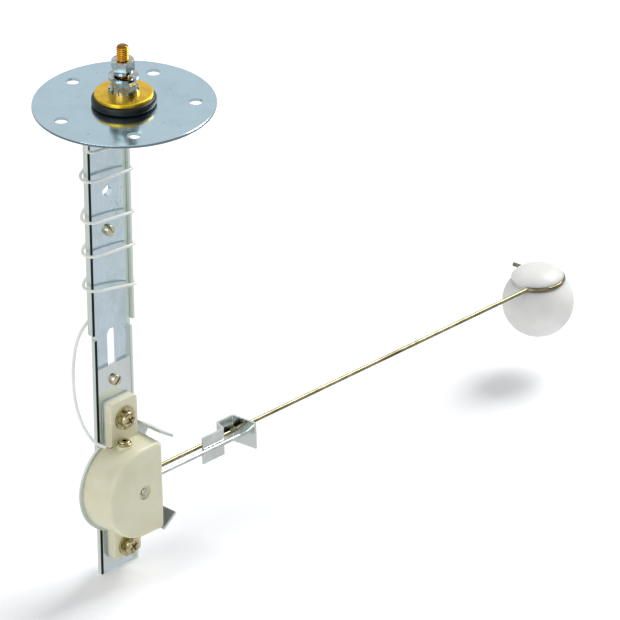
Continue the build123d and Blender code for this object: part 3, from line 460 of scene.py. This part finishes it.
def threaded_stud():
    """The stud with a rolled thread: its radius is the crest less the depth times a triangle wave of
    height over pitch less the angle's share of a turn, cut flat at the crest and the root. The free end
    has a plain chamfer and the lower end a head."""
    low, high = box_mm("terminal_stud")
    shank = np.arange(low[2] + STUD_HEAD_T, high[2] + 1e-6, THREAD_PITCH / 8)
    angle = np.linspace(0, 2 * np.pi, STUD_COLUMNS, endpoint=False)
    phase = (shank[:, None] / THREAD_PITCH - angle / (2 * np.pi)) % 1.0
    valley = np.abs(2 * phase - 1)
    thread = STUD_R - THREAD_DEPTH * np.clip(1.25 * valley - 0.12, 0, 1)
    chamfer = STUD_R - STUD_CHAMFER + np.clip(high[2] - shank, 0, STUD_CHAMFER)
    thread = np.minimum(thread, chamfer[:, None])
    head_r = (high[0] - low[0]) / 2
    head = np.array([head_r - 0.4, head_r, head_r, head_r - 0.3])
    head_z = low[2] + np.array([0.0, 0.4, STUD_HEAD_T - 0.02, STUD_HEAD_T - 0.01])
    radius = np.vstack([np.repeat(head[:, None], STUD_COLUMNS, axis=1), thread])
    height = np.concatenate([head_z, shank])
    piece = turned_piece("threaded_stud", radius, height, (0, 0, 0), brass, STUD_COLUMNS)
    shade_by_angle(piece, 50)
    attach(piece, "base")
    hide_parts("terminal_stud")


def moulded_float():
    """The float: a ball up to the groove, with a fine parting line round its middle whose rise is a bell
    curve of the height, then the groove with a rounded lower lip, and a low domed cap. The cap's height
    is its rise times (1 - s to the power 2.6) to the power 0.75, with s the share of its radius."""
    low, high = box_mm("float")
    ball_r = (high[0] - low[0]) / 2
    ball_z = low[2] + ball_r
    loop_z = ball_z + FLOAT_DROP
    lip, wall_edge = 0.25, 0.15
    swing = np.linspace(-np.pi / 2, np.arcsin((FLOAT_DROP - GROOVE_HALF - lip) / ball_r), 56)
    ball = np.stack([ball_r * np.cos(swing), ball_z + ball_r * np.sin(swing)], axis=1)
    ball[:, 0] += SEAM_RISE * np.exp(-((ball[:, 1] - ball_z) / SEAM_HALF) ** 2)
    neck = ball[-1, 0]
    turn = np.linspace(0, np.pi / 2, 5)
    lower_lip = np.stack([neck - 0.35 - lip * (1 - np.cos(turn)) + 0.2 * (1 - np.sin(turn)),
                          loop_z - GROOVE_HALF - lip * (1 - np.sin(turn))], axis=1)
    wall = np.array([[GROOVE_R + wall_edge, loop_z - GROOVE_HALF],
                     [GROOVE_R, loop_z - GROOVE_HALF + wall_edge],
                     [GROOVE_R, loop_z + GROOVE_HALF - wall_edge],
                     [GROOVE_R + wall_edge, loop_z + GROOVE_HALF]])
    share = np.linspace(1, 0, 22)
    rise = CAP_RISE * (1 - share ** 2.6) ** 0.75
    cap = np.stack([CAP_R * share, loop_z + GROOVE_HALF + rise], axis=1)
    cap_edge = np.array([[CAP_R - 0.12, loop_z + GROOVE_HALF]])
    outline = np.vstack([ball[1:], lower_lip, wall, cap_edge, cap[:-1]])
    centre = (*((low + high) / 2)[:2], 0)
    piece = turned_piece("moulded_float", outline[:, :1], outline[:, 1], centre, milky,
                         FLOAT_COLUMNS)
    shade_by_angle(piece, 38)
    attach(piece, "float_body")
    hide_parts("float")


# The lead

def lead_route():
    """The part's own route in millimetres: out of the ring terminal, five loose turns round the strut
    worked out by a loop, then the free bow down to the resistor terminal."""
    side, front, back = 12.6, 8.0, 14.0
    points = [(-6.8, 0, -3.1), (-11.4, 0, -3.1), (-14.4, 3.0, -6.0), (-13.8, 6.6, -13.0)]
    levels = (-19.0, -31.5, -49.0, -63.5, -78.0)
    for level, fall, following in zip(levels, (3.0, 2.6, 3.4, 2.6, 5.5), levels[1:] + (-97.0,)):
        around = level - fall - 1.2
        points += [(-side, front, level), (0, front - 0.5, level - 0.4 * fall)]
        points += [(side, front, level - fall), (side, back, around)]
        points += [(0, back + 0.9, (around + following + 1.5) / 2), (-side, back, following + 1.5)]
    points += [(-17.0, 13.6, -104.0), (-20.4, 11.0, -114.5), (-21.0, 8.8, -124.5)]
    points += [(-19.2, 6.6, -133.4), (-15.8, 4.2, -140.5), (-11.9, 3.0, -142.7)]
    return np.array(points, dtype=float)


def lead_curve():
    """The lead as one smooth spline through its route, as thick as the insulation."""
    route = lead_route() * MM
    curve = bpy.data.curves.new("lead_cover", "CURVE")
    curve.dimensions = "3D"
    spline = curve.splines.new("NURBS")
    spline.points.add(len(route) - 1)
    spline.points.foreach_set("co", np.column_stack([route, np.ones(len(route))]).ravel())
    spline.order_u = 3
    spline.use_endpoint_u = True
    spline.resolution_u = 10
    curve.bevel_depth = LEAD_R * MM
    curve.bevel_resolution = 5
    curve.use_fill_caps = True
    piece = bpy.data.objects.new("lead_cover", curve)
    bpy.context.scene.collection.objects.link(piece)
    dress(piece, lead_cover)
    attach(piece, "base")
    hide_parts("lead_wire")


threaded_stud()
slotted_screw("stage_screw", 35)
slotted_screw("depth_screw", -50)
standing_pin()
moulded_float()
lead_curve()

for node in nodes.values():
    shade_by_angle(node, 28)


# Floor, light and camera. Lengths are in metres but for the lens, which is in millimetres

FLOOR_Z = cad_box[0][2]
FLOOR_DROP = 0.0001
FADE_FROM = 0.32
FADE_TO = 0.75
OWN_WHITE_NEAR = 0.1
OWN_WHITE_FAR = 0.9
FLOOR_IN_MIRRORS = 0.78
ROOM_LIGHT = 0.43
LIGHTS_AIM = Vector((0.08, 0.0, -0.1))
VIEW_AZIMUTH = math.radians(-43.52)
VIEW_ELEVATION = math.radians(28.03)
VIEW_ROLL = math.radians(-1.41)
VIEW_CENTRE = Vector((68.84, -26.32, -104.09)) * MM
VIEW_DISTANCE = 9107.6 * MM
VIEW_LENS = 1393.5
VIEW_END = 40


def seen_straight(tree, path):
    """One for rays from the camera or through clear matter, nought for all others."""
    return calculate(tree, "MAXIMUM", path.outputs["Is Camera Ray"], path.outputs["Is Transmission Ray"])


def pale_floor():
    """A wide white floor that takes the object's shadow and reads white where no shadow falls. A share
    of its white is its own and seen by camera and glass rays only. It grows with the distance, so that
    the far floor fades to white. Mirrors see the floor as an even pale grey.
    From below it is clear, so that the object can be looked at from there."""
    material, tree, shader, place = new_material("white_paper_floor")
    shader.inputs["Base Color"].default_value = linear("#FCFCFE")
    shader.inputs["Roughness"].default_value = 0.9
    shader.inputs["Specular IOR Level"].default_value = 0.0
    path = add(tree, "ShaderNodeLightPath")
    fade = span(tree, from_axis(tree, place), FADE_FROM, FADE_TO, OWN_WHITE_NEAR, OWN_WHITE_FAR)
    share = calculate(tree, "MULTIPLY", seen_straight(tree, path), fade)
    shader.inputs["Emission Color"].default_value = (1, 1, 1, 1)
    tree.links.new(share, shader.inputs["Emission Strength"])
    mirrored = add(tree, "ShaderNodeEmission", Color=linear("#FFFFFF"), Strength=FLOOR_IN_MIRRORS)
    choice = add(tree, "ShaderNodeMixShader", _0=path.outputs["Is Glossy Ray"],
                 _1=shader.outputs["BSDF"], _2=mirrored.outputs[0])
    below = add(tree, "ShaderNodeNewGeometry").outputs["Backfacing"]
    clear = add(tree, "ShaderNodeBsdfTransparent")
    choice = add(tree, "ShaderNodeMixShader", _0=below, _1=choice.outputs[0], _2=clear.outputs[0])
    tree.links.new(choice.outputs[0], tree.nodes["Material Output"].inputs["Surface"])
    corners = np.array([[-1.6, -1.2, 0], [1.6, -1.2, 0], [1.6, 1.6, 0], [-1.6, 1.6, 0]]) / MM
    corners[:, 2] = (FLOOR_Z - FLOOR_DROP) / MM
    floor = mesh_piece("paper_floor", corners, [[0, 1, 2, 3]], material)


def soft_light(name, towards, distance, size, watts):
    """A square soft box that looks at the object from one direction."""
    lamp = bpy.data.lights.new(name, "AREA")
    lamp.shape = "SQUARE"
    lamp.size = size
    lamp.energy = watts
    holder = bpy.data.objects.new(name, lamp)
    way = Vector(towards).normalized()
    holder.location = LIGHTS_AIM + way * distance
    holder.rotation_euler = way.to_track_quat("Z", "Y").to_euler()
    bpy.context.scene.collection.objects.link(holder)


def pale_room():
    """A plain pale room: white to the camera and a soft grey as light. Mirrors see it white, but for a
    dark patch high in front that gives the nuts and round metal their dark sides."""
    world = bpy.data.worlds.new("pale_room")
    world.use_nodes = True
    tree = world.node_tree
    tree.nodes.clear()
    path = add(tree, "ShaderNodeLightPath")
    way = add(tree, "ShaderNodeTexCoord").outputs["Generated"]
    patch = (0.24, -0.85, 0.47)
    near = add(tree, "ShaderNodeVectorMath", {"operation": "DOT_PRODUCT"}, _0=way, _1=patch)
    mirror_light = span(tree, near.outputs["Value"], 0.89, 0.96, 1.0, 0.05)
    mirrored = add(tree, "ShaderNodeBackground", Color=linear("#F8FAFC"), Strength=mirror_light)
    room = add(tree, "ShaderNodeBackground", Color=linear("#F4F6F8"), Strength=ROOM_LIGHT)
    seen = add(tree, "ShaderNodeBackground", Color=(1, 1, 1, 1), Strength=1.0)
    choice = add(tree, "ShaderNodeMixShader", _0=path.outputs["Is Glossy Ray"], _1=room.outputs[0],
                 _2=mirrored.outputs[0])
    choice = add(tree, "ShaderNodeMixShader", _0=seen_straight(tree, path), _1=choice.outputs[0],
                 _2=seen.outputs[0])
    output = add(tree, "ShaderNodeOutputWorld")
    tree.links.new(choice.outputs[0], output.inputs["Surface"])
    bpy.context.scene.world = world


def photo_camera():
    """A very long lens, as the photograph is near to parallel, at the photograph's angle and roll."""
    camera = bpy.data.cameras.new("photo_camera")
    camera.lens = VIEW_LENS
    camera.clip_end = VIEW_END
    holder = bpy.data.objects.new("photo_camera", camera)
    way = Vector((math.sin(VIEW_AZIMUTH) * math.cos(VIEW_ELEVATION),
                  -math.cos(VIEW_AZIMUTH) * math.cos(VIEW_ELEVATION), math.sin(VIEW_ELEVATION)))
    turn = way.to_track_quat("Z", "Y").to_matrix() @ Matrix.Rotation(VIEW_ROLL, 3, "Z")
    holder.matrix_world = Matrix.Translation(VIEW_CENTRE + way * VIEW_DISTANCE) @ turn.to_4x4()
    bpy.context.scene.collection.objects.link(holder)
    bpy.context.scene.camera = holder


pale_floor()
pale_room()
soft_light("high_right_box", towards=(0.84, 0.03, 0.84), distance=1.2, size=0.6, watts=11.5)
soft_light("left_box", towards=(-0.95, -0.2, 0.42), distance=1.2, size=0.8, watts=4.5)
photo_camera()
bpy.context.scene.view_settings.view_transform = "Standard"
